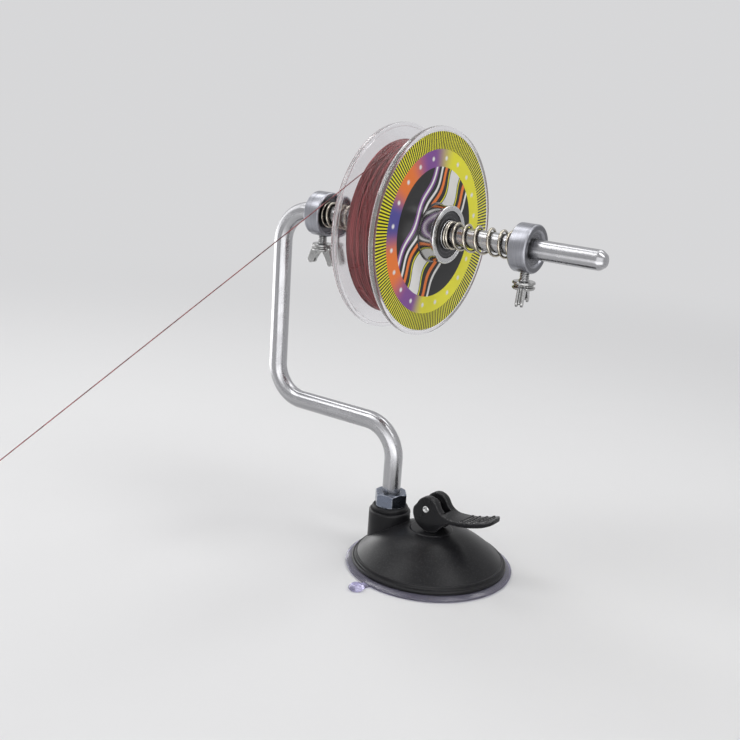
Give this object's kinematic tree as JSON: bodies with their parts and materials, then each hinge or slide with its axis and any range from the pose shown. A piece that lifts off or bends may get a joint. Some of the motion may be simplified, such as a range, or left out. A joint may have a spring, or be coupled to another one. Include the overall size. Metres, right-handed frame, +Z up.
{
  "type": "fishing line winder",
  "caption": "Bent steel arm on a suction base, carrying a line spool on sprung ball bearings between two stop collars.",
  "frame": {"origin": "centre of the suction pad's lower face, on the surface it holds", "axes": "+Z up, away from that surface; +X along the spindle, towards its free tip"},
  "size_m": [0.1606, 0.2263, 0.1869],
  "materials": {
    "housing_black": "satin moulded black",
    "washer_black": "satin nylon",
    "lever_black": "satin moulded black",
    "pad_clear": "soft translucent",
    "rod_steel": "drawn and plated",
    "nut_zinc": "zinc plated",
    "collar_plated": "turned and plated",
    "screw_cast": "cast zinc, plated",
    "spring_wire": "plated wire",
    "stem_steel": "turned",
    "insert_brass": "turned",
    "cup_metal": "turned",
    "race_steel": "ground",
    "shield_steel": "pressed, dark",
    "ball_steel": "polished",
    "cage_steel": "pressed",
    "spool_clear": "clear moulded",
    "label_print": "printed gloss paper",
    "line_nylon": "dark wine nylon"
  },
  "bodies": {
    "base": {"base_housing": "housing_black", "threaded_insert": "insert_brass", "suction_pad": "pad_clear", "post_washer": "washer_black"},
    "stem": {"pad_stem": "stem_steel", "lever_pin": "stem_steel"},
    "lever": {"cam_lever": "lever_black"},
    "arm": {"arm_rod": "rod_steel", "right_spring": "spring_wire", "left_spring": "spring_wire"},
    "lock_nut": {"lock_nut": "nut_zinc"},
    "right_collar": {"right_collar": "collar_plated"},
    "left_collar": {"left_collar": "collar_plated"},
    "right_wing_screw": {"right_wing_screw": "screw_cast"},
    "left_wing_screw": {"left_wing_screw": "screw_cast"},
    "carriage": {"right_inner_race": "race_steel", "left_inner_race": "race_steel", "free_line": "line_nylon", "line_loop": "line_nylon"},
    "ball_sets": {"right_bearing_balls": "ball_steel", "left_bearing_balls": "ball_steel", "right_bearing_cage": "cage_steel", "left_bearing_cage": "cage_steel"},
    "spool": {"spool_core": "spool_clear", "spool_label": "label_print", "line_winding": "line_nylon", "right_spool_flange": "spool_clear", "left_spool_flange": "spool_clear", "right_bearing_cup": "cup_metal", "left_bearing_cup": "cup_metal", "right_outer_race": "race_steel", "left_outer_race": "race_steel", "right_bearing_shields": "shield_steel", "left_bearing_shields": "shield_steel"}
  },
  "joints": [
    {"name": "lever_turn", "type": "hinge", "parent": "stem", "child": "lever", "pos_m": [0, 0, 0.0276], "axis": [0, -1, 0], "range_deg": [0, 95]},
    {"name": "pad_lift", "type": "slide", "parent": "base", "child": "stem", "axis": [0, 0, 1], "range_m": [-0.0036, 0], "deforming": ["suction_pad"]},
    {"name": "arm_swivel", "type": "hinge", "parent": "base", "child": "arm", "pos_m": [-0.02215, 0, 0.01], "axis": [0, 0, 1], "range_deg": [-120, 120]},
    {"name": "nut_turn", "type": "hinge", "parent": "arm", "child": "lock_nut", "pos_m": [-0.02215, 0, 0.023], "axis": [0, 0, 1], "continuous": true},
    {"name": "right_collar_slide", "type": "slide", "parent": "arm", "child": "right_collar", "axis": [1, 0, 0], "range_m": [-0.01, 0.015], "deforming": ["right_spring"]},
    {"name": "left_collar_slide", "type": "slide", "parent": "arm", "child": "left_collar", "axis": [1, 0, 0], "range_m": [-0.003, 0.008], "deforming": ["left_spring"]},
    {"name": "right_screw_turn", "type": "hinge", "parent": "right_collar", "child": "right_wing_screw", "pos_m": [0.0327, 0, 0.13], "axis": [0, 0, 1], "range_deg": [-360, 360]},
    {"name": "left_screw_turn", "type": "hinge", "parent": "left_collar", "child": "left_wing_screw", "pos_m": [-0.068, 0, 0.13], "axis": [0, 0, 1], "range_deg": [-360, 360]},
    {"name": "spool_float", "type": "slide", "parent": "arm", "child": "carriage", "axis": [1, 0, 0], "range_m": [-0.0015, 0.0015], "stiffness_N_per_m": 600, "deforming": ["right_spring", "left_spring"]},
    {"name": "spool_spin", "type": "hinge", "parent": "carriage", "child": "spool", "pos_m": [-0.02035, 0, 0.1443], "axis": [1, 0, 0], "continuous": true},
    {"name": "ball_spin", "type": "hinge", "parent": "carriage", "child": "ball_sets", "pos_m": [-0.02035, 0, 0.1443], "axis": [1, 0, 0], "continuous": true}
  ],
  "couplings": [
    {"joint": "lever_turn", "follows": "pad_lift", "rad_per_m": -460.57},
    {"joint": "ball_spin", "follows": "spool_spin", "ratio": 0.6323}
  ]
}
